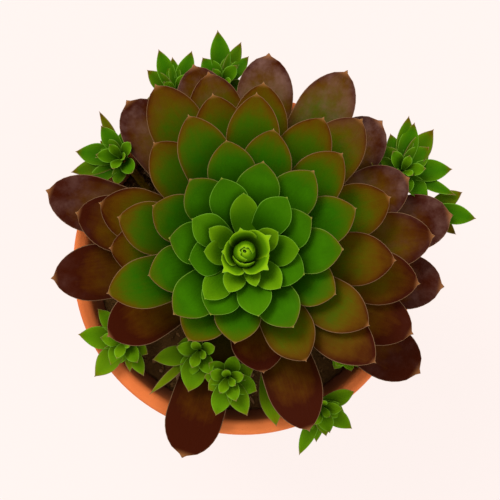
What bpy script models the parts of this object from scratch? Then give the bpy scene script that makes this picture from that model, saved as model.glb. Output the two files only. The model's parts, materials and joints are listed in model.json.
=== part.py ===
# Potted succulent: a large rosette with its offsets in a turned clay pot.
# Metres, +Z up. The origin is the centre of the pot's base, on the pot's axis.
import math

import bmesh
import bpy
from mathutils import Matrix, Vector

# Pot
POT_HEIGHT = 0.110
RIM_RADIUS = 0.065
RIM_HEIGHT = 0.024
RIM_STEP = 0.0035
RIM_ROUND = 0.0022
RIM_EDGE = 0.0008
BASE_RADIUS = 0.042
BASE_EDGE = 0.0015
WALL = 0.006
FLOOR = 0.008
POT_SIDES = 48
DRAIN_RADIUS = 0.004
DRAIN_CIRCLE = 0.022
DRAIN_COUNT = 3

# Soil
SOIL_DROP = 0.012
SOIL_CROWN = 0.002
FIT_GAP = 0.0003
ROOT_DEPTH = 0.010

# Main stem and the rosette on it
STEM_X = 0.0010
STEM_Y = 0.0030
STEM_RADIUS = 0.0068
LOWEST_LEAF = 0.0005
LEAF_PITCH = 0.00046
OLDEST_LEAF = 92
HEART_LEAVES = 33
GOLDEN_ANGLE = 137.508
FIRST_ANGLE = 326.6
SHORTEST_REACH = 0.003
LONGEST_REACH = 0.0795
REACH_POWER = 1.4
LEAF_WIDTH = 0.0220
WIDTH_FADE = 26
LEAF_THICKNESS = 0.0021

# How steeply a leaf rises from the stem and how much it bends up, for an old and a young one.
OLD_RISE = 0.07
YOUNG_RISE = 1.10
RISE_POWER = 1.6
OLD_BEND = 0.5
YOUNG_BEND = 20
BEND_FADE = 9

# Leaves that have withered away or never showed.
FALLEN = (44, 49, 55, 57, 65, 70, 72, 73, 76, 78, 81, 83, 86, 88, 90)

# Degrees that a leaf leans round the stem from its golden-angle place.
TURNS = {
    19: -7, 20: -9, 21: 5, 23: -8, 25: 6, 29: 7, 31: -7, 33: 8, 34: 14, 37: 8, 39: 11,
    40: 9, 41: -7, 42: -13, 43: -7, 45: 10, 46: -6, 47: 9, 50: -5, 51: -9, 53: 7,
    54: -16, 56: -6, 60: -6, 61: 8, 64: -9, 66: 6, 67: -12, 68: 16, 69: 8,
    75: -14, 77: -10, 80: -6, 84: -7, 85: -7, 87: -6, 91: 12, 92: -6,
}

# Millimetres that a leaf is longer than its age alone would make it.
STRETCH = {
    20: -5, 21: -4, 23: -3, 31: -4, 33: -3, 34: -4, 36: -4, 38: -6, 41: 5, 42: 4, 43: 5,
    47: 9, 48: 5, 51: -3, 52: -12, 54: -8, 58: -4, 59: -5, 60: 6, 62: -5, 64: 5,
    74: 6, 80: 3, 79: -7, 85: -4, 87: -6,
}

# Offsets. Each rosette has a bearing round the pot in degrees, a place out from the rim's
# outer edge and above its top, and a root at its own bearing, in from the pot's inner wall.
OFFSETS = {
    "offset_north_west": dict(bearing=112, out=0.0040, above=0.0020, rooted=(114, 0.0130),
                              lean=20, radius=0.0105, leaves=10),
    "offset_north": dict(bearing=96, out=0.0045, above=0.0020, rooted=(94, 0.0140),
                         lean=20, radius=0.0105, leaves=10),
    "offset_west": dict(bearing=142, out=0.0010, above=0.0016, rooted=(144, 0.0150),
                        lean=28, radius=0.0140, leaves=9),
    "offset_south_west": dict(bearing=214, out=-0.0120, above=0.0020, rooted=(215, 0.0125),
                              lean=14, radius=0.0160, leaves=12),
    "offset_south_mid": dict(bearing=237, out=-0.0270, above=0.0090, rooted=(233, 0.0177),
                             lean=10, radius=0.0140, leaves=11),
    "offset_south": dict(bearing=265, out=-0.0220, above=0.0125, rooted=(272, 0.0180),
                         lean=8, radius=0.0150, leaves=13),
    "offset_south_east": dict(bearing=298, out=-0.0040, above=0.0030, rooted=(298, 0.0135),
                              lean=24, radius=0.0170, leaves=10),
    "offset_east_low": dict(bearing=318, out=-0.0150, above=-0.0050, rooted=(317, 0.0110),
                            lean=6, radius=0.0105, leaves=8),
    "offset_east": dict(bearing=30, out=0.0100, above=0.0012, rooted=(32, 0.0115),
                        lean=28, radius=0.0160, leaves=11),
    "offset_north_east": dict(bearing=42, out=-0.0180, above=-0.0055, rooted=(45, 0.0110),
                              lean=6, radius=0.0105, leaves=8),
}
OFFSET_STEM = 0.0014
RIM_CLEARANCE = 0.0012
OFFSET_THICKNESS = 0.0013
OFFSET_WIDTH = 0.30
OFFSET_PITCH = 0.0006
OFFSET_CURL = 6.0
OFFSET_RISE = 0.40
OFFSET_HEART_RISE = 1.3


def clear_scene():
    for old in list(bpy.data.objects):
        bpy.data.objects.remove(old, do_unlink=True)


def material(name, color, roughness):
    made = bpy.data.materials.new(name)
    made.use_nodes = True
    shader = made.node_tree.nodes["Principled BSDF"]
    shader.inputs["Base Color"].default_value = (*color, 1.0)
    shader.inputs["Roughness"].default_value = roughness
    shader.inputs["Metallic"].default_value = 0.0
    return made


def add_object(name, bm, look, smooth=True):
    mesh = bpy.data.meshes.new(name)
    bm.to_mesh(mesh)
    bm.free()
    if smooth:
        mesh.shade_smooth()
        mesh.set_sharp_from_angle(angle=math.radians(40))
    mesh.materials.append(look)
    made = bpy.data.objects.new(name, mesh)
    bpy.context.scene.collection.objects.link(made)
    return made


def boolean(target, operation, guide):
    cut = target.modifiers.new(operation.lower(), "BOOLEAN")
    cut.operation = operation
    cut.solver = "EXACT"
    cut.object = guide


def make_guide(thing):
    thing.hide_render = True
    thing.display_type = "WIRE"
    return thing


def arc(centre_r, centre_z, radius, start, end, steps):
    # Points of a profile's rounded corner, angles in degrees from +R.
    points = []
    for step in range(steps + 1):
        angle = math.radians(start + (end - start) * step / steps)
        points.append((centre_r + radius * math.cos(angle), centre_z + radius * math.sin(angle)))
    return points


def turned(profile, sides):
    # A closed solid turned from (radius, height) points that run from axis to axis.
    bm = bmesh.new()
    verts = [bm.verts.new((radius, 0.0, height)) for radius, height in profile]
    edges = [bm.edges.new(pair) for pair in zip(verts, verts[1:])]
    bmesh.ops.spin(bm, geom=verts + edges, cent=(0, 0, 0), axis=(0, 0, 1),
                   angle=math.tau, steps=sides, use_merge=True)
    bmesh.ops.remove_doubles(bm, verts=bm.verts, dist=0.00001)
    bmesh.ops.recalc_face_normals(bm, faces=bm.faces)
    return bm


def pot_inner_radius(height):
    # Radius of the pot's inner wall, which is straight from its floor to its mouth.
    low = BASE_RADIUS - WALL
    high = RIM_RADIUS - WALL
    return low + (high - low) * (height - FLOOR) / (POT_HEIGHT - FLOOR)


def make_pot(look):
    body_top = RIM_RADIUS - RIM_STEP
    rim_low = POT_HEIGHT - RIM_HEIGHT
    profile = [(0.0, 0.0), (BASE_RADIUS - BASE_EDGE, 0.0), (BASE_RADIUS, BASE_EDGE)]
    profile.append((body_top, rim_low))
    profile += arc(RIM_RADIUS - RIM_EDGE, rim_low + RIM_EDGE, RIM_EDGE, -90, 0, 2)
    profile += arc(RIM_RADIUS - RIM_ROUND, POT_HEIGHT - RIM_ROUND, RIM_ROUND, 0, 90, 3)
    profile += arc(RIM_RADIUS - WALL + RIM_ROUND, POT_HEIGHT - RIM_ROUND, RIM_ROUND, 90, 180, 3)
    profile += [(pot_inner_radius(FLOOR), FLOOR), (0.0, FLOOR)]
    pot = add_object("pot", turned(profile, POT_SIDES), look)
    for index in range(DRAIN_COUNT):
        angle = math.tau * index / DRAIN_COUNT + math.pi / 2
        bm = bmesh.new()
        bmesh.ops.create_cone(bm, cap_ends=True, segments=20, radius1=DRAIN_RADIUS,
                              radius2=DRAIN_RADIUS, depth=FLOOR * 3)
        drill = make_guide(add_object(f"drain_{index + 1}", bm, look))
        drill.location = (DRAIN_CIRCLE * math.cos(angle), DRAIN_CIRCLE * math.sin(angle), 0.0)
        boolean(pot, "DIFFERENCE", drill)
    return pot


def soil_top():
    return POT_HEIGHT - SOIL_DROP


def make_soil(look):
    low = FLOOR + FIT_GAP
    edge = soil_top()
    profile = [(0.0, low), (pot_inner_radius(low) - FIT_GAP * 1.1, low)]
    profile += [(pot_inner_radius(edge) - FIT_GAP * 1.1, edge)]
    profile += [(0.040, edge + SOIL_CROWN * 0.6), (0.020, edge + SOIL_CROWN), (0.0, edge + SOIL_CROWN)]
    soil = add_object("soil", turned(profile, POT_SIDES), look)
    places = [("stem", STEM_X, STEM_Y, STEM_RADIUS)]
    places += [(name, *offset_root(spec), OFFSET_STEM) for name, spec in OFFSETS.items()]
    for name, x, y, radius in places:
        bm = bmesh.new()
        depth = ROOT_DEPTH + FIT_GAP + SOIL_CROWN * 2
        bmesh.ops.create_cone(bm, cap_ends=True, segments=12, radius1=radius + FIT_GAP * 1.2,
                              radius2=radius + FIT_GAP * 1.2, depth=depth)
        socket = make_guide(add_object(f"socket_{name}", bm, look))
        socket.location = (x, y, edge - ROOT_DEPTH - FIT_GAP + depth / 2)
        boolean(soil, "DIFFERENCE", socket)
    return soil


def outline(u, age):
    # Half-width along a leaf, as a share of its widest: a narrow foot, a broad shoulder that is
    # further out on an old leaf, and a pointed end that is longer on a young one.
    foot = 0.36
    shoulder = 0.76 - 0.26 * age
    if u < shoulder:
        t = u / shoulder
        return foot + (1 - foot) * math.sin(t * math.pi / 2) ** 1.5
    t = (u - shoulder) / (1 - shoulder)
    return max(0.0, 1 - t ** 2) ** (0.60 + 0.60 * age)


def lens(u):
    # Thickness along a leaf, as a share of its thickest.
    return (0.55 + 0.45 * math.sin(math.pi * u)) * (1 - u ** 8)


def leaf_blade(foot, reach, half_width, thickness, age, height, slope, along, across):
    # A leaf on the +X side of its stem. Every point lies on a bowl that turns about the stem.
    bm = bmesh.new()
    for side in (1, -1):
        blade = bmesh.ops.create_grid(bm, x_segments=along, y_segments=across, size=0.5)
        share = 0.35 if side > 0 else 0.65
        for vert in blade["verts"]:
            u = vert.co.x + 0.5
            v = vert.co.y * 2
            x = foot + (reach - foot) * u
            y = v * half_width * outline(u, age)
            radius = math.hypot(x, y)
            tilt = slope(radius)
            lift = side * share * thickness * lens(u) * (1 - v * v)
            normal = Vector((-tilt * x / radius, -tilt * y / radius, 1.0)).normalized()
            vert.co = Vector((x, y, height(radius))) + normal * lift
    bmesh.ops.remove_doubles(bm, verts=bm.verts, dist=0.00002)
    open_edges = [edge for edge in bm.edges if edge.is_boundary]
    bmesh.ops.holes_fill(bm, edges=open_edges, sides=0)
    bmesh.ops.recalc_face_normals(bm, faces=bm.faces)
    return bm


def leaf_age(order):
    # 1 for the youngest leaf in the heart, 0 for the oldest at the bottom.
    return (OLDEST_LEAF - order) / OLDEST_LEAF


def main_leaf(order, foot, along, across):
    # One leaf of the large rosette; order counts from the youngest to the oldest.
    age = leaf_age(order)
    base = POT_HEIGHT + LOWEST_LEAF + LEAF_PITCH * (OLDEST_LEAF - order)
    rise = OLD_RISE + YOUNG_RISE * age ** RISE_POWER
    bend = OLD_BEND + YOUNG_BEND * math.exp(-order / BEND_FADE)
    reach = LONGEST_REACH - (LONGEST_REACH - SHORTEST_REACH) * age ** REACH_POWER
    reach += 0.001 * STRETCH.get(order, 0)
    half_width = LEAF_WIDTH / 2 * (1 - math.exp(-(order + 8) / WIDTH_FADE))
    thickness = LEAF_THICKNESS * (0.55 + 0.45 * min(1.0, order / 40))

    def height(radius):
        run = max(0.0, radius - foot)
        return base + rise * run + bend * run * run

    def slope(radius):
        return rise + 2 * bend * max(0.0, radius - foot)

    bm = leaf_blade(foot, reach, half_width, thickness, age, height, slope, along, across)
    angle = math.radians(FIRST_ANGLE + GOLDEN_ANGLE * order + TURNS.get(order, 0))
    bmesh.ops.rotate(bm, verts=bm.verts, cent=(0, 0, 0), matrix=Matrix.Rotation(angle, 3, "Z"))
    return bm


def heart_base():
    # Height where the separate leaves end and the heart begins.
    return POT_HEIGHT + LOWEST_LEAF + LEAF_PITCH * (OLDEST_LEAF - HEART_LEAVES)


def make_main_stem(look):
    low = soil_top() - ROOT_DEPTH
    high = heart_base() - FIT_GAP * 2
    profile = [(0.0, low), (STEM_RADIUS, low), (STEM_RADIUS, high), (0.0, high)]
    stem = add_object("main_stem", turned(profile, 24), look)
    stem.location = (STEM_X, STEM_Y, 0.0)
    return stem


def make_heart(look):
    low = heart_base() - FIT_GAP
    high = low + LEAF_PITCH * HEART_LEAVES
    profile = [(0.0, low), (STEM_RADIUS, low), (STEM_RADIUS * 0.86, low + (high - low) * 0.45)]
    profile += [(STEM_RADIUS * 0.5, low + (high - low) * 0.85), (0.0, high + 0.004)]
    heart = add_object("heart", turned(profile, 20), look)
    heart.location = (STEM_X, STEM_Y, 0.0)
    for order in range(1, HEART_LEAVES):
        foot = STEM_RADIUS * 0.8 * math.sqrt((order + 2) / (HEART_LEAVES + 2))
        leaf = make_guide(add_object(f"heart_leaf_{order}", main_leaf(order, foot, 4, 2), look))
        leaf.location = heart.location
        boolean(heart, "UNION", leaf)
    return heart


def mix(young, old, share):
    return tuple(a + (b - a) * share for a, b in zip(young, old))


def make_leaves():
    green = (0.060, 0.150, 0.012)
    maroon = (0.060, 0.012, 0.010)
    for order in range(HEART_LEAVES, OLDEST_LEAF + 1):
        if order in FALLEN:
            continue
        share = min(1.0, max(0.0, (order - 34) / 30))
        look = material(f"leaf_{order}", mix(green, maroon, share), 0.5)
        leaf = add_object(f"leaf_{order}", main_leaf(order, STEM_RADIUS + FIT_GAP * 2, 5, 4), look)
        leaf.location = (STEM_X, STEM_Y, 0.0)


def tube(points, radius, sides):
    # A closed tube along the points, each ring square to the path; its last ring is half as wide.
    bm = bmesh.new()
    rings = []
    for index, point in enumerate(points):
        before = points[max(index - 1, 0)]
        after = points[min(index + 1, len(points) - 1)]
        turn = (after - before).to_track_quat("Z", "Y").to_matrix().to_4x4()
        width = radius * (0.5 if index == len(points) - 1 else 1.0)
        ring = bmesh.ops.create_circle(bm, segments=sides, radius=width,
                                       matrix=Matrix.Translation(point) @ turn)
        rings.append(ring["verts"])
    for low, high in zip(rings, rings[1:]):
        low_edges = [edge for edge in bm.edges if all(v in low for v in edge.verts)]
        high_edges = [edge for edge in bm.edges if all(v in high for v in edge.verts)]
        bmesh.ops.bridge_loops(bm, edges=low_edges + high_edges)
    bmesh.ops.holes_fill(bm, edges=[edge for edge in bm.edges if edge.is_boundary], sides=0)
    bmesh.ops.recalc_face_normals(bm, faces=bm.faces)
    return bm


def polar(radius, degrees):
    return radius * math.cos(math.radians(degrees)), radius * math.sin(math.radians(degrees))


def offset_root(spec):
    bearing, inset = spec["rooted"]
    return polar(pot_inner_radius(soil_top()) - inset, bearing)


def offset_place(spec):
    return Vector((*polar(RIM_RADIUS + spec["out"], spec["bearing"]), POT_HEIGHT + spec["above"]))


def offset_path(spec):
    # The stem of an offset: straight up out of the soil, over to its rosette, and up inside it.
    root_x, root_y = offset_root(spec)
    start = Vector((root_x, root_y, soil_top() - ROOT_DEPTH))
    leave = Vector((root_x, root_y, soil_top() + SOIL_CROWN + 0.001))
    end = offset_place(spec)
    aim = Vector((*polar(1.0, spec["bearing"]), 0.0))
    lean = math.radians(spec["lean"])
    arrive = aim * math.sin(lean) + Vector((0, 0, math.cos(lean)))
    beyond_rim = math.hypot(end.x, end.y) > RIM_RADIUS - WALL * 2
    over = POT_HEIGHT + RIM_CLEARANCE + OFFSET_STEM
    climb = Vector((root_x, root_y, over + 0.001 if beyond_rim else end.z - 0.003))
    level = end.lerp(climb, 0.25) if beyond_rim else end - arrive * 0.003
    if beyond_rim:
        level.z = over - 0.001
    points = [start]
    for step in range(6):
        t = step / 5
        points.append(leave * (1 - t) ** 3 + climb * 3 * t * (1 - t) ** 2
                      + level * 3 * t * t * (1 - t) + end * t ** 3)
    top = end + arrive * OFFSET_PITCH * spec["leaves"]
    return points + [top, top + arrive * OFFSET_STEM]


def make_offset(name, spec, look):
    stem = add_object(name, tube(offset_path(spec), OFFSET_STEM, 6), look)
    aim = Matrix.Rotation(math.radians(spec["bearing"]), 4, "Z")
    lean = aim @ Matrix.Rotation(math.radians(spec["lean"]), 4, "Y") @ aim.inverted()
    count = spec["leaves"]
    foot = OFFSET_STEM * 0.7
    for order in range(1, count + 1):
        share = order / count
        reach = spec["radius"] * (0.16 + 0.84 * share ** 0.8)
        rise = OFFSET_RISE + OFFSET_HEART_RISE * (1 - share)
        base = OFFSET_PITCH * (count - order)

        def height(radius):
            return base + rise * (radius - foot) + OFFSET_CURL * radius * radius

        def slope(radius):
            return rise + 2 * OFFSET_CURL * radius

        half_width = reach * OFFSET_WIDTH * (1.15 - 0.25 * share)
        bm = leaf_blade(foot, reach, half_width, OFFSET_THICKNESS, 1.0, height, slope, 4, 2)
        spin = Matrix.Rotation(math.radians(GOLDEN_ANGLE * order), 4, "Z")
        bmesh.ops.transform(bm, verts=bm.verts, matrix=lean @ spin)
        leaf = make_guide(add_object(f"{name}_leaf_{order}", bm, look))
        leaf.location = offset_place(spec)
        boolean(stem, "UNION", leaf)
    return stem


def main():
    clear_scene()
    make_pot(material("terracotta", (0.560, 0.160, 0.050), 0.85))
    make_soil(material("soil", (0.030, 0.018, 0.012), 0.95))
    make_main_stem(material("stem", (0.160, 0.110, 0.060), 0.8))
    make_heart(material("heart", (0.090, 0.260, 0.020), 0.5))
    make_leaves()
    for name, spec in OFFSETS.items():
        make_offset(name, spec, material(name, (0.080, 0.200, 0.020), 0.5))


main()
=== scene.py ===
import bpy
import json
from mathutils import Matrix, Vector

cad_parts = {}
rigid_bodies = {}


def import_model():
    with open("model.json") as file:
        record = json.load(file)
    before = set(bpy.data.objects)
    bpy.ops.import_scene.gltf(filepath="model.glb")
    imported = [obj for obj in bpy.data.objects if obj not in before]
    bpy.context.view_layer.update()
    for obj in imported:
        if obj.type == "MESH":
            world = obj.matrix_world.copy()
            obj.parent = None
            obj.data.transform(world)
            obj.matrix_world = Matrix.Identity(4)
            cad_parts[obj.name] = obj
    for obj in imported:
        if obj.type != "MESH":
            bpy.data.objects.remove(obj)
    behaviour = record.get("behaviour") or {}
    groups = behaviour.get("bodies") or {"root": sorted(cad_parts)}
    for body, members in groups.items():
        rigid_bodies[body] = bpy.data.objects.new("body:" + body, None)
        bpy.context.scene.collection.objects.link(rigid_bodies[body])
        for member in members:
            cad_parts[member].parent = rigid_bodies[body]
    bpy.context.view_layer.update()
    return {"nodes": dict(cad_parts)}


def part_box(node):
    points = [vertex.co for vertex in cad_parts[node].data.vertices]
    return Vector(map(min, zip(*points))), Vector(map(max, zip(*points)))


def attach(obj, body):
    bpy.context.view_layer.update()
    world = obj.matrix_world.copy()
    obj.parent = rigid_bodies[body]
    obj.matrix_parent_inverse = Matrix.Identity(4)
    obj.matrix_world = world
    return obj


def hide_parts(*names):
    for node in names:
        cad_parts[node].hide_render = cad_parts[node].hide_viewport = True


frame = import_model()

import json
import math
import random

import bmesh
import bpy
from mathutils import Matrix, Vector, noise

mm = 0.001


class Wire:
    # a socket that can stand in a sum
    def __init__(self, paint, socket):
        self.paint = paint
        self.socket = socket

    def calc(self, operation, *others):
        return self.paint.add("ShaderNodeMath", {"operation": operation}, dict(enumerate((self, *others))))

    def __add__(self, other):
        return self.calc("ADD", other)

    def __radd__(self, other):
        return self.calc("ADD", other)

    def __sub__(self, other):
        return self.calc("SUBTRACT", other)

    def __rsub__(self, other):
        return (self * -1.0).calc("ADD", other)

    def __mul__(self, other):
        return self.calc("MULTIPLY", other)

    def __rmul__(self, other):
        return self.calc("MULTIPLY", other)

    def ramp(self, low, high):
        # 0 below low, 1 above high, smooth between
        settings = {"interpolation_type": "SMOOTHSTEP"}
        return self.paint.add("ShaderNodeMapRange", settings, {0: self, 1: low, 2: high, 3: 0.0, 4: 1.0})


class Paint:
    # a material and the ways to add nodes to it
    def __init__(self, name):
        self.material = bpy.data.materials.new(name)
        self.material.use_nodes = True
        self.tree = self.material.node_tree
        self.shader = self.tree.nodes["Principled BSDF"]

    def add(self, kind, settings, inputs, output=0):
        node = self.tree.nodes.new(kind)
        for key, value in settings.items():
            if key == "stops":
                ramp = node.color_ramp
                while len(ramp.elements) < len(value):
                    ramp.elements.new(0.5)
                for element, (place, colour) in zip(ramp.elements, value):
                    element.position = place
                    element.color = (*colour, 1.0)
            else:
                setattr(node, key, value)
        for key, value in inputs.items():
            if isinstance(value, Wire):
                self.tree.links.new(value.socket, node.inputs[key])
            else:
                node.inputs[key].default_value = value
        return Wire(self, node.outputs[output])

    def objectPlace(self):
        return self.add("ShaderNodeTexCoord", {}, {}, "Object")

    def parts(self, vector):
        return [self.add("ShaderNodeSeparateXYZ", {}, {0: vector}, axis) for axis in range(3)]

    def join(self, x, y, z):
        return self.add("ShaderNodeCombineXYZ", {}, {0: x, 1: y, 2: z})

    def attribute(self, name):
        return self.add("ShaderNodeAttribute", {"attribute_name": name}, {}, "Fac")

    def noise(self, place, scale, detail=2.0, roughness=0.5):
        inputs = {"Vector": place, "Scale": scale, "Detail": detail, "Roughness": roughness}
        return self.add("ShaderNodeTexNoise", {}, inputs)

    def grade(self, amount, stops):
        return self.add("ShaderNodeValToRGB", {"stops": stops}, {0: amount})

    def blend(self, amount, first, second, mode="MIX"):
        inputs = {0: amount, 6: self.full(first), 7: self.full(second)}
        return self.add("ShaderNodeMix", {"data_type": "RGBA", "blend_type": mode}, inputs, 2)

    def full(self, colour):
        return colour if isinstance(colour, Wire) else (*colour, 1.0)

    def bump(self, height, strength, distance):
        inputs = {"Height": height, "Strength": strength, "Distance": distance}
        return self.add("ShaderNodeBump", {}, inputs, "Normal")

    def feed(self, socket, value):
        if isinstance(value, Wire):
            self.tree.links.new(value.socket, self.shader.inputs[socket])
        elif isinstance(value, tuple):
            self.shader.inputs[socket].default_value = (*value, 1.0)
        else:
            self.shader.inputs[socket].default_value = value


def smooth(value, low, high):
    # 0 below low, 1 above high, smooth between
    share = max(0.0, min(1.0, (value - low) / (high - low)))
    return share * share * (3 - 2 * share)


def makePiece(name, bm, material, nodeNames):
    mesh = bpy.data.meshes.new(name)
    bm.to_mesh(mesh)
    bm.free()
    mesh.shade_smooth()
    mesh.materials.append(material)
    piece = bpy.data.objects.new(name, mesh)
    bpy.context.scene.collection.objects.link(piece)
    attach(piece, "root")
    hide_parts(*nodeNames)
    return piece


view = {
    "target": (2.6 * mm, 5.4 * mm, 110 * mm),
    "distance": 600 * mm,
    "tilt": 2.0,
    "lens": 113.4,
    "floorSize": 6.0,
    "floorColour": (0.05, 0.045, 0.043),
    "floorGlow": (0.93, 0.835, 0.805),
}


def makeCamera():
    data = bpy.data.cameras.new("camera")
    data.lens = view["lens"]
    data.sensor_width = 36
    data.clip_start = 0.01
    camera = bpy.data.objects.new("camera", data)
    tilt = math.radians(view["tilt"])
    back = Vector((0, -math.sin(tilt), math.cos(tilt)))
    camera.location = Vector(view["target"]) + back * view["distance"]
    camera.rotation_euler = (tilt, 0, 0)
    bpy.context.scene.collection.objects.link(camera)
    bpy.context.scene.camera = camera


def makeFloor():
    bm = bmesh.new()
    bmesh.ops.create_grid(bm, x_segments=1, y_segments=1, size=view["floorSize"] / 2)
    mesh = bpy.data.meshes.new("floor")
    bm.to_mesh(mesh)
    bm.free()
    paint = Paint("floor")
    paint.feed("Base Color", view["floorColour"])
    paint.feed("Emission Color", view["floorGlow"])
    paint.feed("Emission Strength", 1.0)
    paint.feed("Roughness", 0.9)
    mesh.materials.append(paint.material)
    floor = bpy.data.objects.new("floor", mesh)
    bpy.context.scene.collection.objects.link(floor)


lamps = {
    "key": {"place": (-0.7, 0.9, 1.5), "size": 0.8, "power": 24, "colour": (1.0, 0.98, 0.94)},
    "fill": {"place": (1.2, -0.6, 1.2), "size": 1.4, "power": 8, "colour": (0.98, 0.98, 1.0)},
}
sky = {"colour": (1.0, 0.985, 0.975), "strength": 0.8}


def makeLight():
    world = bpy.data.worlds.new("world")
    world.use_nodes = True
    world.node_tree.nodes["Background"].inputs["Color"].default_value = (*sky["colour"], 1.0)
    world.node_tree.nodes["Background"].inputs["Strength"].default_value = sky["strength"]
    bpy.context.scene.world = world
    for name, lamp in lamps.items():
        data = bpy.data.lights.new(name, "AREA")
        data.size = lamp["size"]
        data.energy = lamp["power"]
        data.color = lamp["colour"]
        light = bpy.data.objects.new(name, data)
        light.location = lamp["place"]
        aim = Vector((0, 0, 0.12)) - light.location
        light.rotation_euler = aim.to_track_quat("-Z", "Y").to_euler()
        bpy.context.scene.collection.objects.link(light)
    bpy.context.scene.view_settings.view_transform = "Standard"


makeCamera()
makeFloor()
makeLight()
print("stage is set")

skin = {
    "stops": [  # from the green of a young leaf to the maroon of an old one
        (0.00, (0.028, 0.132, 0.0005)), (0.20, (0.019, 0.094, 0.0004)), (0.40, (0.042, 0.082, 0.0004)),
        (0.56, (0.080, 0.056, 0.0005)), (0.72, (0.086, 0.034, 0.0008)), (0.88, (0.058, 0.0140, 0.0010)),
        (1.00, (0.036, 0.0050, 0.0012)),
    ],
    "youth": (0.21, 0.39, 0.004),
    # painted shade: near-black green laid over each leaf's foot, where it runs under the leaves above
    "shade": (0.0, 0.012, 0.0),
    # greyish wax bloom, partly a painted sheen
    "bloom": (0.20, 0.105, 0.085),
    "tip": (0.42, 0.17, 0.055),
    "oldMargin": (0.23, 0.13, 0.065),
    "youngMargin": (0.16, 0.36, 0.030),
    "under": (0.070, 0.045, 0.004),
    "marginWidth": 0.32 * mm,
}

# what each point of a leaf knows: how red, fresh and powdery (wax bloom with a painted sheen) it is, how deep
# the painted shade lies on it, and how far from the margin it is
leafMarks = ("blush", "youth", "bloom", "edge", "seed", "under", "shade")


def makeLeafSkin():
    paint = Paint("leaf_skin")
    blush, youth, bloom, edge, seed, under, shade = [paint.attribute(name) for name in leafMarks]
    place = paint.objectPlace()
    u, v = paint.parts(paint.add("ShaderNodeUVMap", {"uv_map": "blade"}, {}))[:2]
    mottle = paint.noise(place, 240.0, 3.0, 0.6)
    cloud = paint.noise(place, 105.0, 5.0, 0.62)
    streak = paint.noise(paint.join(u * 3.0, v * 9.0, seed * 37.0), 1.0, 3.0, 0.6)
    grain = paint.noise(place, 2600.0, 2.0, 0.6)
    tone = blush + (mottle - 0.5) * 0.26 + (streak - 0.5) * 0.14
    colour = paint.grade(tone, skin["stops"])
    colour = paint.blend(youth, colour, skin["youth"])
    # painted shade darkens each leaf towards its foot
    colour = paint.blend(shade, colour, skin["shade"])
    colour = paint.blend(under * 0.65, colour, skin["under"])
    # patches of wax bloom, their strength partly a painted sheen
    haze = bloom * (cloud * 3.2 + mottle * 0.6 - 1.25)
    colour = paint.blend(haze.ramp(0.05, 1.1) * 0.7, colour, skin["bloom"])
    colour = paint.blend(u.ramp(0.955, 1.0) * 0.6, colour, skin["tip"])
    rim = 1.0 - edge.ramp(skin["marginWidth"] * 0.35, skin["marginWidth"])
    margin = paint.blend(blush.ramp(0.22, 0.50), skin["youngMargin"], skin["oldMargin"])
    colour = paint.blend(rim * 0.68, colour, margin)
    colour = paint.blend(grain.ramp(0.50, 0.80) * 0.35, colour, (0.6, 0.6, 0.6), "OVERLAY")
    paint.feed("Base Color", colour)
    paint.feed("Roughness", 0.46 + bloom * 0.2 + (mottle - 0.5) * 0.2)
    paint.feed("Specular IOR Level", 0.01)
    paint.feed("Normal", paint.bump(grain * 0.35 + streak + mottle * 0.5, 0.35, 0.35 * mm))
    return paint.material


rosette = {
    "x": 1.0 * mm,
    "y": 3.0 * mm,
    "rim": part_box("pot")[1].z,
    "lowest": 0.5 * mm,
    "pitch": 0.46 * mm,
    "oldest": 92,
    "heart": 33,
    "stemRadius": 6.8 * mm,
    "goldenAngle": 137.508,
    "firstAngle": 326.6,
    "shortestReach": 3 * mm,
    "longestReach": 79.5 * mm,
    "width": 22 * mm,
    "thickness": 2.1 * mm,
    "redSide": 290,  # bearing in degrees of the reddest side
    "oldRedSide": 257,  # the same for the oldest leaves
    "upright": 16,  # the oldest leaf that stands up round the heart
    "alongSteps": 26,
    "acrossSteps": 18,
    "heartAlongSteps": 20,
    "heartAcrossSteps": 14,
}

# spans are leaf numbers, counted from the youngest
ageing = {
    "grown": (12, 32),
    "fresh": (9, 22),
    "freshLevel": 0.9,
    "stillFresh": (26, 44),
    "stillFreshLevel": 0.10,
    "browning": (18, 54),
    "ripe": (36, 84),
    "sunLead": 20,  # how many leaves sooner the red side turns
    # leaf numbers over which wax bloom and its painted sheen come in
    "bloom": (55, 82),
    "wave": (20, 70),
    "sway": (10, 60),
    "turnOfSide": (47, 60),
    # leaf numbers over which the painted shade at the leaf feet deepens
    "dark": (12, 20),
}

fallen = (44, 49, 55, 57, 65, 70, 72, 73, 76, 78, 81, 83, 86, 88, 90)

# degrees that a leaf leans round the stem from its golden-angle place
turns = {
    5: -7, 9: 23, 10: -14, 11: -8, 12: 3, 16: -4, 17: 4,
    19: -7, 20: -9, 21: 5, 22: -4, 23: -8, 25: 6, 28: 4, 29: 7, 30: -4, 31: -7, 32: 4, 33: 8,
    34: 14, 37: 8, 39: 11, 40: 9, 41: -7, 42: -13, 43: -7, 45: 10, 46: -6, 47: 9, 50: -5, 51: -9,
    53: 7, 54: -16, 56: -6, 60: -6, 61: 8, 64: -9, 66: 6, 67: -12, 68: 16, 69: 8, 71: -4,
    75: -14, 77: -10, 79: -4, 80: -6, 84: -7, 85: -7, 87: -6, 91: 12, 92: -6,
}

# millimetres that a leaf is longer than its age alone would make it
stretch = {
    5: 4, 9: 2, 10: 1, 11: -2, 12: -2, 14: 2, 15: 2, 16: -2, 20: -5, 21: -4,
    23: -3, 24: -3, 25: -3, 30: -3, 31: -4, 33: -3, 34: -4, 36: -4, 38: -6, 41: 5, 42: 4, 43: 5,
    46: -3, 47: 9, 48: 5, 51: -3, 52: -12, 54: -8, 58: -4, 59: -5, 60: 6, 62: -5, 64: 5, 66: -1,
    67: -3, 74: 6, 80: 3, 79: -7, 84: -2, 85: -4, 87: -6,
}


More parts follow.
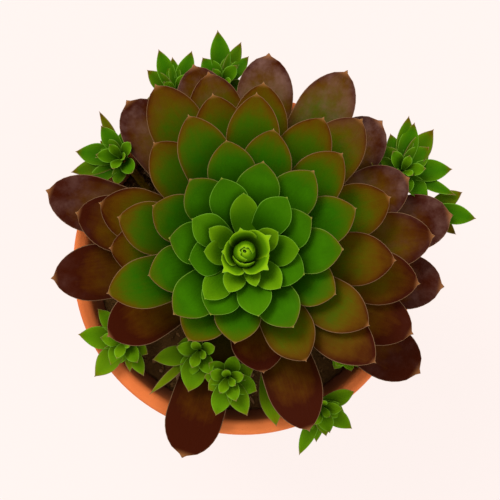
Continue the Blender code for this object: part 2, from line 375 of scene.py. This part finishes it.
def outline(u, age):
    # half-width along a leaf, as a share of its widest: age runs from 0 on the oldest leaf to 1 on the
    # youngest, whose end is sharper, and every leaf has a small point at its very end
    foot = 0.40
    shoulder = 0.79 - 0.22 * age
    point = 0.15 * min(1.0, (1 - u) / 0.12) ** 1.4
    if u < shoulder:
        return foot + (1 - foot) * math.sin(u / shoulder * math.pi / 2) ** 1.3
    t = min(1.0, (u - shoulder) / (0.985 - shoulder))
    end = (1 - t ** 2) ** (0.52 + 0.50 * age)
    return (end ** 3 + point ** 3) ** (1 / 3)


def lens(u):
    # thickness along a leaf, as a share of its thickest
    return (0.55 + 0.45 * math.sin(math.pi * u)) * (1 - u ** 8)


def leafBlade(bm, leaf, surface, along, across, matrix):
    # one leaf laid on a surface on the +X side of its stem, then carried to its place
    layer = bm.loops.layers.uv.get("blade") or bm.loops.layers.uv.new("blade")
    marks = {name: bm.verts.layers.float.get(name) or bm.verts.layers.float.new(name) for name in leafMarks}
    made = []
    for side in (1, -1):
        grid = bmesh.ops.create_grid(bm, x_segments=along, y_segments=across, size=0.5)
        share = 0.35 if side > 0 else 0.65
        faces = {face for vert in grid["verts"] for face in vert.link_faces}
        for face in faces:
            for loop in face.loops:
                start = loop.vert.co
                loop[layer].uv = (1 - (0.5 - start.x) ** 1.25, math.sin(start.y * math.pi))
        if side < 0:
            bmesh.ops.reverse_faces(bm, faces=list(faces))
        for vert in grid["verts"]:
            u = 1 - max(0.0, 0.5 - vert.co.x) ** 1.25
            v = math.sin(vert.co.y * math.pi)
            width = leaf["halfWidth"] * leaf["outline"](u)
            point, normal = surface(u, v * width + leaf["sway"] * u * u)
            body = side * share * leaf["thickness"] * lens(u) * max(0.0, 1 - v * v) ** 0.8
            ripple = leaf["wave"] * math.sin(u * 11 + leaf["seed"] * 40 + v)
            ripple *= abs(v) ** 3 * math.sin(math.pi * u)
            cup = leaf["cup"] * v * v * math.sin(math.pi * min(1.0, u * 1.1)) ** 2
            vert.co = point + normal * (body + cup + ripple)
            vert[marks["blush"]] = leaf["blush"](u, v)
            vert[marks["youth"]] = leaf["youth"](u, v)
            # painted shade: full at the leaf's foot, gone by 0.82 of its length
            vert[marks["shade"]] = leaf["shade"] * (1 - smooth(u, 0.25, 0.82))
            vert[marks["bloom"]] = leaf["bloom"] * smooth(u, 0.35, 0.95)
            vert[marks["edge"]] = (1 - abs(v)) * width
            vert[marks["seed"]] = leaf["seed"]
            vert[marks["under"]] = 0.0 if side > 0 else leaf["under"]
        made += grid["verts"]
    bmesh.ops.transform(bm, verts=made, matrix=matrix)


def bowl(foot, reach, base, rise, bend):
    # a surface that opens like a bowl about the stem
    def surface(u, y):
        x = foot + (reach - foot) * u
        radius = math.hypot(x, y)
        run = max(0.0, radius - foot)
        tilt = rise + 2 * bend * run
        normal = Vector((-tilt * x / radius, -tilt * y / radius, 1.0)).normalized()
        return Vector((x, y, base + rise * run + bend * run * run)), normal
    return surface


def wrap(points):
    # a surface wrapped round the axis, its midrib a curve through four (radius, height) points
    def midrib(u):
        shares = ((1 - u) ** 3, 3 * u * (1 - u) ** 2, 3 * u * u * (1 - u), u ** 3)
        return [sum(share * point[axis] for share, point in zip(shares, points)) for axis in range(2)]

    def surface(u, y):
        radius, height = midrib(u)
        ahead = midrib(u + 0.01)
        run, climb = ahead[0] - radius, ahead[1] - height
        turn = y / max(radius, 1.5 * mm)
        normal = Vector((-climb * math.cos(turn), -climb * math.sin(turn), run)).normalized()
        return Vector((radius * math.cos(turn), radius * math.sin(turn), height)), normal
    return surface


def finishLeaves(bm):
    bmesh.ops.remove_doubles(bm, verts=bm.verts, dist=0.000005)
    openEdges = [edge for edge in bm.edges if edge.is_boundary]
    bmesh.ops.holes_fill(bm, edges=openEdges, sides=0)
    bmesh.ops.recalc_face_normals(bm, faces=bm.faces)


def mainLeaf(bm, order, foot, along, across):
    age = (rosette["oldest"] - order) / rosette["oldest"]
    azimuth = rosette["firstAngle"] + rosette["goldenAngle"] * order + turns.get(order, 0)
    base = rosette["rim"] + rosette["lowest"] + rosette["pitch"] * (rosette["oldest"] - order)
    reach = rosette["longestReach"] - (rosette["longestReach"] - rosette["shortestReach"]) * age ** 1.4
    reach += stretch.get(order, 0) * mm
    redSide, oldRedSide = rosette["redSide"], rosette["oldRedSide"]
    redSide = redSide + (oldRedSide - redSide) * smooth(order, *ageing["turnOfSide"])
    south = math.cos(math.radians(azimuth - redSide))
    ripe = smooth(order + ageing["sunLead"] * south, *ageing["ripe"])
    grown = smooth(order, *ageing["grown"])
    fresh = ageing["freshLevel"] * (1 - smooth(order, *ageing["fresh"]))
    fresh = max(fresh, ageing["stillFreshLevel"] * (1 - smooth(order, *ageing["stillFresh"])))

    def blush(u, v):
        ends = 0.34 * smooth(u, 0.72, 1.0) + 0.30 * abs(v) ** 4 - 0.07
        young = 0.04 + 0.38 * smooth(order, *ageing["browning"])
        return young + (0.47 + 0.08 * south) * ripe + ends * grown - 0.18 * smooth(1 - u, 0.3, 0.8)

    leaf = {
        "outline": lambda u: outline(u, age),
        "halfWidth": rosette["width"] / 2 * (1 - math.exp(-(order + 3 + 5 * grown) / 26)),
        "thickness": rosette["thickness"] * (0.55 + 0.45 * min(1.0, order / 40)),
        "cup": 0.9 * mm * min(1.0, order / 30),
        "wave": 0.35 * mm * smooth(order, *ageing["wave"]),
        "sway": 1.6 * mm * math.sin(order * 2.7) * smooth(order, *ageing["sway"]),
        "seed": (order * 0.618) % 1.0,
        "blush": blush,
        "youth": lambda u, v: fresh * (0.25 + 0.75 * smooth(u, 0.4, 1.0)) * (0.6 + 0.4 * v * v),
        # wax bloom, made stronger on the side away from the red side as a painted sheen
        "bloom": smooth(order, *ageing["bloom"]) * (0.42 - 0.34 * south),
        "under": grown,
        # how deep the painted shade at this leaf's foot is, deeper on older leaves
        "shade": 0.15 + 0.30 * smooth(order, *ageing["dark"]) + 0.35 * grown,
    }
    place = Matrix.Translation((rosette["x"], rosette["y"], 0))
    place = place @ Matrix.Rotation(math.radians(azimuth), 4, "Z")
    if order > rosette["upright"]:
        surface = bowl(foot, reach, base, 0.07 + 1.10 * age ** 1.6, 0.5 + 20 * math.exp(-order / 9))
    else:
        climb = (6 + 0.55 * order) * mm
        surface = wrap(((foot, base), (reach * 0.50, base + 1 * mm), (reach * 0.78, base + climb * 0.55),
                        (reach, base + climb)))
    leafBlade(bm, leaf, surface, along, across, place)


# the closed leaves of the heart: bearing in degrees, then belly, neck radius, tip radius, height
# and half-width in millimetres; the first four close into a bud and the others cup it
closed = (
    (318, 4.2, 2.9, -0.6, 8.4, 5.4), (80, 4.4, 3.1, 1.3, 8.1, 4.2), (190, 4.6, 3.3, 1.5, 7.7, 4.6),
    (255, 5.2, 4.7, 3.9, 6.2, 4.8),
    (33, 6.0, 4.5, 10.8, 8.8, 6.4), (102, 6.2, 4.8, 8.6, 9.0, 5.6), (180, 6.4, 5.1, 8.4, 8.6, 5.4),
    (222, 6.8, 4.8, 11.0, 7.8, 5.6), (322, 6.4, 4.6, 10.4, 8.4, 6.6),
)
closedShape = {
    "shoulder": 0.76,
    "foot": 0.85,
    "tip": 0.36,
    "hollow": 0.85,
    "alongSteps": 24,
    "acrossSteps": 18,
}


def closedOutline(u):
    # half-width of a closed leaf: broad, with a small hollow-sided tip
    shoulder, tip = closedShape["shoulder"], closedShape["tip"]
    if u < shoulder:
        return closedShape["foot"] + (1 - closedShape["foot"]) * math.sin(u / shoulder * math.pi / 2)
    t = (u - shoulder) / (1 - shoulder)
    return (1 - tip) * math.sqrt(max(0.0, 1 - (t / 0.55) ** 2)) + tip * (1 - t) ** closedShape["hollow"]


def closedLeaf(bm, number, spec):
    bearing, belly, neck, tip, top, halfWidth = spec

    def youth(u, v):
        return 0.25 + 0.75 * max(smooth(abs(v), 0.70, 0.98), smooth(u, 0.74, 0.90))

    leaf = {
        "outline": closedOutline,
        "halfWidth": halfWidth * mm,
        "thickness": 0.9 * mm,
        "cup": 0.0,
        "wave": 0.0,
        "sway": 0.0,
        "seed": (number * 0.618) % 1.0,
        "blush": lambda u, v: 0.05,
        "youth": youth,
        "bloom": 0.0,
        "under": 0.0,
        # painted shade deep in the heart, at the feet of the closed leaves
        "shade": 0.75,
    }
    base = rosette["rim"] + rosette["lowest"] + rosette["pitch"] * rosette["oldest"] - 0.6 * mm
    place = Matrix.Translation((rosette["x"], rosette["y"], 0))
    place = place @ Matrix.Rotation(math.radians(bearing), 4, "Z")
    curve = [(1.2, 0.0), (belly * 1.25, 0.4), (neck, top - 2.0), (tip, top)]
    surface = wrap([(radius * mm, base + height * mm) for radius, height in curve])
    leafBlade(bm, leaf, surface, closedShape["alongSteps"], closedShape["acrossSteps"], place)


leafSkin = makeLeafSkin()


def makeHeart():
    bm = bmesh.new()
    for number, spec in enumerate(closed):
        closedLeaf(bm, number, spec)
    for order in [5, *range(9, rosette["heart"])]:
        foot = rosette["stemRadius"] * 0.8 * math.sqrt((order + 3) / (rosette["heart"] + 2))
        mainLeaf(bm, order, foot, rosette["heartAlongSteps"], rosette["heartAcrossSteps"])
    finishLeaves(bm)
    makePiece("heart_leaves", bm, leafSkin, ["heart"])


def makeOpenLeaves():
    for order in range(rosette["heart"], rosette["oldest"] + 1):
        if order in fallen:
            continue
        bm = bmesh.new()
        mainLeaf(bm, order, rosette["stemRadius"], rosette["alongSteps"], rosette["acrossSteps"])
        finishLeaves(bm)
        makePiece(f"open_leaf_{order}", bm, leafSkin, [f"leaf_{order}"])


makeHeart()
makeOpenLeaves()
print("main rosette is grown")

# each offset: its centre, the way it leans, its root, its small inner leaves, and its large
# leaves as (bearing in degrees, length, width), sizes in millimetres
offsets = {
    "offset_north_west": {
        "centre": (-25, 63, 112), "lean": (112, 12), "root": (-17.6, 39.6), "inner": 5,
        "leaves": [(114, 19, 7), (93, 15, 5), (72, 18, 7), (140, 15, 7), (104, 12, 5), (28, 13, 7),
                   (190, 12, 7)],
    },
    "offset_north": {
        "centre": (-8, 67, 112), "lean": (95, 12), "root": (-3, 42), "inner": 5,
        "leaves": [(91, 21, 8), (68, 18, 6), (47, 15, 6), (122, 13, 8), (80, 13, 5), (160, 12, 7),
                   (350, 10, 7)],
    },
    "offset_west": {
        "centre": (-45, 39.5, 112.5), "lean": (150, 16), "root": (-33.4, 24.3), "inner": 6,
        "leaves": [(115, 20, 4), (121, 15, 7), (145, 11, 8), (169, 18, 9), (196, 20, 7), (220, 17, 7),
                   (85, 11, 6), (262, 11, 6)],
    },
    "offset_south_west": {
        "centre": (-43.5, -28.5, 112.5), "lean": (214, 14), "root": (-35.9, -25.1), "inner": 6,
        "leaves": [(128, 16, 7), (175, 18, 9), (226, 18, 9), (238, 11, 8), (280, 12, 4), (296, 15, 6),
                   (90, 11, 6), (330, 10, 6)],
    },
    "offset_south_mid": {
        "centre": (-15.5, -32, 118.5), "lean": (225, 10), "root": (-23.2, -30.8), "inner": 6,
        "leaves": [(193, 18, 8), (251, 16, 10), (236, 12, 8), (165, 9, 8), (218, 25, 3.5), (120, 9, 6)],
    },
    "offset_south": {
        "centre": (-5.5, -41.5, 122), "lean": (270, 10), "root": (1.3, -38.3), "inner": 7,
        "leaves": [(255, 15, 8), (296, 16, 8), (332, 12, 8), (217, 9, 7), (275, 9, 7), (180, 9, 7),
                   (20, 10, 7), (140, 9, 6)],
        "shoot": {"centre": (8.5, -38.5, 113), "leaves": [(324, 10, 8), (278, 23, 9), (292, 17, 7)]},
    },
    "offset_south_east": {
        "centre": (28.5, -52.5, 113), "lean": (298, 18), "root": (20.1, -37.8), "inner": 6,
        "leaves": [(249, 20, 6), (280, 12, 6), (323, 15, 7), (344, 10, 7), (22, 14, 7), (265, 14, 5)],
    },
    "offset_east_low": {
        "centre": (38.5, -33, 106), "lean": (320, 8), "root": (33.1, -30.9), "inner": 5,
        "leaves": [(327, 10, 5), (286, 8, 5), (10, 8, 5), (240, 8, 5)],
    },
    "offset_east": {
        "centre": (59.5, 34.5, 112.5), "lean": (35, 14), "root": (38, 23.7), "inner": 6,
        "leaves": [(85, 21, 7), (78, 19, 8), (50, 20, 9), (45, 14, 9), (2, 19, 9), (134, 13, 9),
                   (338, 22, 5), (310, 14, 8), (168, 13, 8), (205, 12, 8), (250, 13, 8), (110, 15, 7)],
        "shoot": {"centre": (69.5, 21, 112), "leaves": [(348, 19, 8), (22, 15, 7), (322, 15, 5)]},
    },
    "offset_north_east": {
        "centre": (35.5, 29.5, 106), "lean": (42, 8), "root": (32, 32), "inner": 5,
        "leaves": [(25, 17, 7), (60, 10, 6), (100, 9, 6), (330, 9, 6)],
    },
}
growth = {
    "innerReach": 9.5 * mm,
    "innerWidth": 6.6 * mm,
    "pitch": 0.45 * mm,
    "thickness": 1.5 * mm,
    "curl": 4.5,
    "tangle": 23,  # keeps the numbers of one offset's leaves apart from the next one's
    "stem": 1.4 * mm,
    "stemSides": 12,
    "stemSteps": 24,
    "alongSteps": 14,
    "acrossSteps": 8,
    "shoot": 40,  # what a side shoot adds to its leaves' numbers
}


def offsetLeaf(bm, number, bearing, reach, width, base, rise, matrix, olive):
    south = smooth(-matrix.translation.y, 0, 30 * mm)
    leaf = {
        "outline": lambda u: outline(u, 1.15),
        "halfWidth": width / 2,
        "thickness": growth["thickness"] * (0.6 + 0.4 * reach / (15 * mm)),
        "cup": 0.07 * width * 2,
        "wave": 0.1 * mm,
        "sway": 0.06 * reach * math.sin(number * 2.3),
        "seed": (number * 0.618) % 1.0,
        "blush": lambda u, v: olive + 0.10 * abs(v) ** 3 + 0.5 * smooth(u, 0.80, 1.0),
        "youth": lambda u, v: 0.05 + 0.25 * south + 0.30 * (1 - smooth(reach, 4 * mm, 11 * mm)) + 0.2 * v * v,
        "bloom": 0.0,
        "under": 0.3,
        # painted shade at the feet of the offset's leaves
        "shade": 0.55,
    }
    surface = bowl(0.3 * mm, reach, base, rise, growth["curl"])
    place = matrix @ Matrix.Rotation(math.radians(bearing), 4, "Z")
    leafBlade(bm, leaf, surface, growth["alongSteps"], growth["acrossSteps"], place)


def runner(bm, points):
    # a round stem along the points
    marks = {name: bm.verts.layers.float[name] for name in leafMarks}
    rings = []
    for index, point in enumerate(points):
        ahead = points[min(index + 1, len(points) - 1)] - points[max(index - 1, 0)]
        turn = ahead.to_track_quat("Z", "Y").to_matrix().to_4x4()
        radius = growth["stem"] * (1 + 0.12 * math.sin(index * 1.9))
        if index == len(points) - 1:
            radius = 0.1 * mm
        ring = bmesh.ops.create_circle(bm, segments=growth["stemSides"], radius=radius,
                                       matrix=Matrix.Translation(point) @ turn)
        rings.append(ring["verts"])
        for vert in ring["verts"]:
            vert[marks["blush"]] = 0.66
            vert[marks["edge"]] = 1.0
            vert[marks["seed"]] = 0.3
    for low, high in zip(rings, rings[1:]):
        count = growth["stemSides"]
        for side in range(count):
            after = (side + 1) % count
            bm.faces.new((low[side], low[after], high[after], high[side]))


def makeOffset(name, spec, first):
    bm = bmesh.new()
    bearing, lean = spec["lean"]
    aim = Matrix.Rotation(math.radians(bearing), 4, "Z")
    centre = Vector(spec["centre"]) * mm
    matrix = Matrix.Translation(centre) @ aim @ Matrix.Rotation(math.radians(lean), 4, "Y") @ aim.inverted()
    count = spec["inner"]
    for index in range(count):
        share = (index + 1) / count
        reach = growth["innerReach"] * (0.25 + 0.75 * share)
        width = growth["innerWidth"] * (0.45 + 0.55 * share)
        base = growth["pitch"] * (count + 2 - index)
        offsetLeaf(bm, first + index, rosette["goldenAngle"] * index + first * 31, reach, width, base,
                   0.75 + 1.3 * (1 - share), matrix, 0.05)
    for index, (place, length, width) in enumerate(spec["leaves"]):
        olive = 0.12 + 0.26 * ((first + index) * 0.618 % 1.0) ** 2 + (0.35 if width < 5 else 0.0)
        base = growth["pitch"] * (1.6 - index * 0.15)
        offsetLeaf(bm, first + count + index, place, length * mm, width * mm, base,
                   0.42 - 0.010 * length, matrix, olive)
    if "shoot" in spec:
        shoot = Matrix.Translation(Vector(spec["shoot"]["centre"]) * mm)
        for index, (place, length, width) in enumerate(spec["shoot"]["leaves"]):
            number = first + growth["shoot"] + index
            offsetLeaf(bm, number, place, length * mm, width * mm, -0.8 * mm * index, 0.12, shoot,
                       0.10 + 0.30 * index)
    finishLeaves(bm)
    rootX, rootY = [value * mm for value in spec["root"]]
    start = Vector((rootX, rootY, rosette["rim"] - 18 * mm))
    over = centre.z - 2 * mm
    if centre.z > rosette["rim"]:
        over = max(centre.z - 1 * mm, rosette["rim"] + 2.6 * mm)
    climb = Vector((rootX, rootY, over))
    level = Vector((centre.x * 0.7 + rootX * 0.3, centre.y * 0.7 + rootY * 0.3, over))
    end = centre + Vector((0, 0, growth["pitch"] * count))
    points = []
    for step in range(growth["stemSteps"] + 1):
        t = step / growth["stemSteps"]
        shares = ((1 - t) ** 3, 3 * t * (1 - t) ** 2, 3 * t * t * (1 - t), t ** 3)
        spots = zip((start, climb, level, end), shares)
        points.append(sum((spot * share for spot, share in spots), Vector()))
    runner(bm, points)
    makePiece(f"{name}_leaves", bm, leafSkin, [name])


for number, (name, spec) in enumerate(offsets.items()):
    makeOffset(name, spec, number * growth["tangle"])
print("offsets are grown")

pot = {
    "height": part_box("pot")[1].z,
    "rimRadius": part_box("pot")[1].x,
    "rimHeight": 24 * mm,
    "rimStep": 3.5 * mm,
    "rimRound": 2.4 * mm,
    "bandRound": 1.1 * mm,
    "baseRadius": 42 * mm,
    "baseRound": 1.6 * mm,
    "baseInset": 6 * mm,
    "wall": 6 * mm,
    "floor": 8 * mm,
    "floorRound": 3 * mm,
    "innerRings": (0.10, 0.085, 0.06, 0.03),
    "bodySteps": 12,
    "drains": 3,
    "drainRadius": 4 * mm,
    "drainCircle": 22 * mm,
    "drainSides": 48,
    "sides": 144,
    "sharpAngle": 50,
    "light": (0.78, 0.200, 0.050),
    "dark": (0.66, 0.150, 0.034),
    "lime": (0.74, 0.46, 0.32),
    # dark stain of damp clay, also standing in for painted shade inside the pot
    "dampAndShade": (0.17, 0.045, 0.016),
}


def makeClay():
    paint = Paint("terracotta")
    place = paint.objectPlace()
    x, y, z = paint.parts(place)
    radius = (x * x + y * y).calc("SQRT")
    mottle = paint.noise(place, 38.0, 4.0, 0.6)
    grain = paint.noise(place, 1700.0, 2.0, 0.6)
    rings = paint.noise(paint.join(x * 6.0, y * 6.0, z * 520.0), 1.0, 2.0, 0.5)
    chalk = paint.noise(place, 95.0, 5.0, 0.65)
    colour = paint.blend(mottle.ramp(0.3, 0.7), pot["dark"], pot["light"])
    colour = paint.blend(grain.ramp(0.62, 0.75) * 0.35, colour, (0.30, 0.085, 0.030))
    colour = paint.blend((1.0 - grain).ramp(0.62, 0.75) * 0.25, colour, (0.80, 0.36, 0.16))
    lime = chalk.ramp(0.46, 0.76) * (1.0 - z.ramp(0.01, 0.095)) * 0.38
    colour = paint.blend(lime, colour, pot["lime"])
    # painted shade and damp stain: darkens all clay nearer the axis than the mouth (the inner wall, and also
    # the tapered outer body below the rim band) from 20 mm up, fading over the top 9 mm
    mouth = pot["rimRadius"] - pot["wall"]
    inside = 1.0 - radius.ramp(mouth - 0.4 * mm, mouth + 2.2 * mm)
    dampAndShade = inside * (1.0 - z.ramp(pot["height"] - 9 * mm, pot["height"] + 5 * mm)) * z.ramp(0.02, 0.06)
    colour = paint.blend(dampAndShade * 0.9, colour, pot["dampAndShade"])
    paint.feed("Base Color", colour)
    paint.feed("Roughness", 0.84 + (mottle - 0.5) * 0.12)
    paint.feed("Specular IOR Level", 0.18)
    paint.feed("Normal", paint.bump(rings * 1.2 + grain * 0.5 + chalk * 0.6, 0.5, 0.25 * mm))
    return paint.material


def corner(centreR, centreZ, radius, start, end, steps):
    # points of a rounded corner, angles in degrees from outward
    turnsOf = [math.radians(start + (end - start) * step / steps) for step in range(steps + 1)]
    return [(centreR + radius * math.cos(turn), centreZ + radius * math.sin(turn)) for turn in turnsOf]


def spun(profile, sides):
    # a closed solid turned from points that run from axis to axis
    bm = bmesh.new()
    verts = [bm.verts.new((radius, 0.0, height)) for radius, height in profile]
    edges = [bm.edges.new(pair) for pair in zip(verts, verts[1:])]
    bmesh.ops.spin(bm, geom=verts + edges, cent=(0, 0, 0), axis=(0, 0, 1),
                   angle=math.tau, steps=sides, use_merge=True)
    bmesh.ops.remove_doubles(bm, verts=bm.verts, dist=0.00001)
    bmesh.ops.recalc_face_normals(bm, faces=bm.faces)
    return bm


def innerRadius(height):
    low = pot["baseRadius"] - pot["wall"]
    high = pot["rimRadius"] - pot["wall"]
    return low + (high - low) * (height - pot["floor"]) / (pot["height"] - pot["floor"])


def makePot():
    rim, high, rounded = pot["rimRadius"], pot["height"], pot["rimRound"]
    bodyTop, rimLow = rim - pot["rimStep"], high - pot["rimHeight"]
    baseRound, bandRound, floorRound = pot["baseRound"], pot["bandRound"], pot["floorRound"]
    profile = [(0.0, 0.0), (pot["baseRadius"] - pot["baseInset"], 0.0)]
    profile += corner(pot["baseRadius"] - baseRound, baseRound, baseRound, -90, -10, 5)
    for step in range(1, pot["bodySteps"]):
        share = step / pot["bodySteps"]
        profile.append((pot["baseRadius"] + (bodyTop - pot["baseRadius"]) * share, rimLow * share))
    profile += [(bodyTop - 0.5 * mm, rimLow - 0.6 * mm), (bodyTop - 0.1 * mm, rimLow)]
    profile += corner(rim - bandRound, rimLow + bandRound, bandRound, -90, 0, 5)
    profile += [(rim, rimLow + pot["rimHeight"] * share) for share in (0.25, 0.5, 0.7)]
    profile += corner(rim - rounded, high - rounded, rounded, 0, 90, 8)
    profile += corner(rim - pot["wall"] + rounded, high - rounded, rounded, 90, 175, 8)
    profile += [(innerRadius(height), height) for height in pot["innerRings"]]
    profile += corner(innerRadius(pot["floor"]) - floorRound, pot["floor"] + floorRound, floorRound, 0, -90, 5)
    profile.append((0.0, pot["floor"]))
    piece = makePiece("clay_pot", spun(profile, pot["sides"]), makeClay(), ["pot"])
    piece.data.set_sharp_from_angle(angle=math.radians(pot["sharpAngle"]))
    for index in range(pot["drains"]):
        turn = math.tau * index / pot["drains"] + math.pi / 2
        bm = bmesh.new()
        place = (pot["drainCircle"] * math.cos(turn), pot["drainCircle"] * math.sin(turn), pot["floor"] / 2)
        bmesh.ops.create_cone(bm, cap_ends=True, segments=pot["drainSides"], radius1=pot["drainRadius"],
                              radius2=pot["drainRadius"], depth=pot["floor"] * 2,
                              matrix=Matrix.Translation(place))
        cutterMesh = bpy.data.meshes.new(f"drill_{index}")
        bm.to_mesh(cutterMesh)
        bm.free()
        cutter = bpy.data.objects.new(f"drill_{index}", cutterMesh)
        bpy.context.scene.collection.objects.link(cutter)
        cut = piece.modifiers.new("drain", "BOOLEAN")
        cut.solver = "EXACT"
        cut.object = cutter
    depsgraph = bpy.context.evaluated_depsgraph_get()
    done = bpy.data.meshes.new_from_object(piece.evaluated_get(depsgraph))
    piece.modifiers.clear()
    piece.data = done
    for thing in [thing for thing in bpy.data.objects if thing.name.startswith("drill_")]:
        bpy.data.objects.remove(thing, do_unlink=True)


makePot()
print("pot is turned")

soil = {
    "top": pot["height"] - 12 * mm,
    "crown": 1.0 * mm,
    "rings": 44,
    "sides": 128,
    "lump": 0.9 * mm,
    "wallGap": 0.4 * mm,
    "floorGap": 0.3 * mm,
    "grainInset": 1.2 * mm,
    "baseTint": 0.10,
    "grains": 620,
    "dryLeaves": 26,
    "stops": [
        (0.00, (0.065, 0.030, 0.008)), (0.30, (0.140, 0.066, 0.018)), (0.55, (0.210, 0.105, 0.036)),
        (0.78, (0.240, 0.130, 0.055)), (1.00, (0.380, 0.240, 0.120)),
    ],
}


def makeEarth():
    paint = Paint("potting_mix")
    kind = paint.attribute("kind")
    place = paint.objectPlace()
    crumb = paint.noise(place, 520.0, 5.0, 0.7)
    fibre = paint.noise(place, 1900.0, 3.0, 0.7)
    colour = paint.grade(kind + (crumb - 0.5) * 0.42, soil["stops"])
    colour = paint.blend(fibre.ramp(0.55, 0.8) * 0.3, colour, (0.17, 0.09, 0.045))
    paint.feed("Base Color", colour)
    paint.feed("Roughness", 0.93)
    paint.feed("Specular IOR Level", 0.1)
    paint.feed("Normal", paint.bump(crumb + fibre * 0.5, 0.9, 0.6 * mm))
    return paint.material


def soilHeight(x, y):
    radius = math.hypot(x, y) / pot["rimRadius"]
    lump = noise.noise(Vector((x, y, 0)) * 230) + 0.5 * noise.noise(Vector((x, y, 7)) * 520)
    return soil["top"] + soil["crown"] * (1 - radius * radius) + soil["lump"] * lump


def makeSoil():
    low = pot["floor"] + soil["floorGap"]
    profile = [(0.0, low), (innerRadius(low) - soil["wallGap"], low)]
    edge = innerRadius(soil["top"]) - soil["wallGap"]
    profile += [(edge * (1 - step / soil["rings"]), soil["top"]) for step in range(soil["rings"] + 1)]
    bm = spun(profile, soil["sides"])
    kind = bm.verts.layers.float.new("kind")
    for vert in bm.verts:
        if vert.co.z > soil["top"] - 1 * mm:
            vert.co.z = soilHeight(vert.co.x, vert.co.y)
        vert[kind] = soil["baseTint"]
    dice = random.Random(5)
    for grain in range(soil["grains"]):
        radius, turn = (edge - soil["grainInset"]) * math.sqrt(dice.random()), dice.random() * math.tau
        x, y = radius * math.cos(turn), radius * math.sin(turn)
        size = (0.35 + 1.1 * dice.random() ** 2.5) * mm
        grown = bmesh.ops.create_icosphere(bm, subdivisions=2, radius=1.0)
        spin = Matrix.Rotation(dice.random() * math.tau, 4, Vector((dice.random() - 0.5, dice.random(), 0.3)))
        flat = Matrix.Diagonal((size * (0.8 + dice.random()), size, size * (0.45 + 0.4 * dice.random()), 1))
        place = Matrix.Translation((x, y, soilHeight(x, y) + size * 0.25))
        tint = dice.random() ** 1.7
        for vert in grown["verts"]:
            bump = 1 + 0.35 * noise.noise(vert.co * 1.7 + Vector((grain, 0, 0)))
            vert.co = vert.co * bump
            vert[kind] = 0.12 + 0.8 * tint
        bmesh.ops.transform(bm, verts=grown["verts"], matrix=place @ spin @ flat)
    for leaf in range(soil["dryLeaves"]):
        radius, turn = (14 + 36 * dice.random()) * mm, dice.random() * math.tau
        x, y = radius * math.cos(turn), radius * math.sin(turn)
        length, width = (7 + 9 * dice.random()) * mm, (2 + 2.5 * dice.random()) * mm
        blade = bmesh.ops.create_grid(bm, x_segments=10, y_segments=4, size=0.5)
        tint = 0.45 + 0.4 * dice.random()
        curl = (1.2 + 2.2 * dice.random()) * mm
        for vert in blade["verts"]:
            u, v = vert.co.x + 0.5, vert.co.y * 2
            span = v * width * outline(u, 0.9)
            lift = curl * (u * u - 0.4 * u) + 0.35 * width * v * v * math.sin(math.pi * u)
            vert.co = Vector((length * (u - 0.5), span, lift + 1.3 * mm))
            vert[kind] = tint
        spin = Matrix.Rotation(turn + dice.uniform(-0.7, 0.7), 4, "Z")
        place = Matrix.Translation((x, y, soilHeight(x, y)))
        bmesh.ops.transform(bm, verts=blade["verts"], matrix=place @ spin)
    makePiece("potting_soil", bm, makeEarth(), ["soil"])


makeSoil()
print("soil is filled")


def makeBark():
    paint = Paint("stem_bark")
    place = paint.objectPlace()
    x, y, z = paint.parts(place)
    flake = paint.noise(paint.join(x * 260.0, y * 260.0, z * 700.0), 1.0, 4.0, 0.65)
    grain = paint.noise(place, 1500.0, 2.0, 0.6)
    colour = paint.blend(flake.ramp(0.35, 0.65), (0.075, 0.045, 0.022), (0.24, 0.155, 0.080))
    colour = paint.blend(grain.ramp(0.55, 0.8) * 0.3, colour, (0.33, 0.25, 0.15))
    paint.feed("Base Color", colour)
    paint.feed("Roughness", 0.86)
    paint.feed("Specular IOR Level", 0.15)
    paint.feed("Normal", paint.bump(flake + grain * 0.3, 0.9, 0.8 * mm))
    mesh = frame["nodes"]["main_stem"].data
    mesh.materials.clear()
    mesh.materials.append(paint.material)


makeBark()
print("stem is covered")
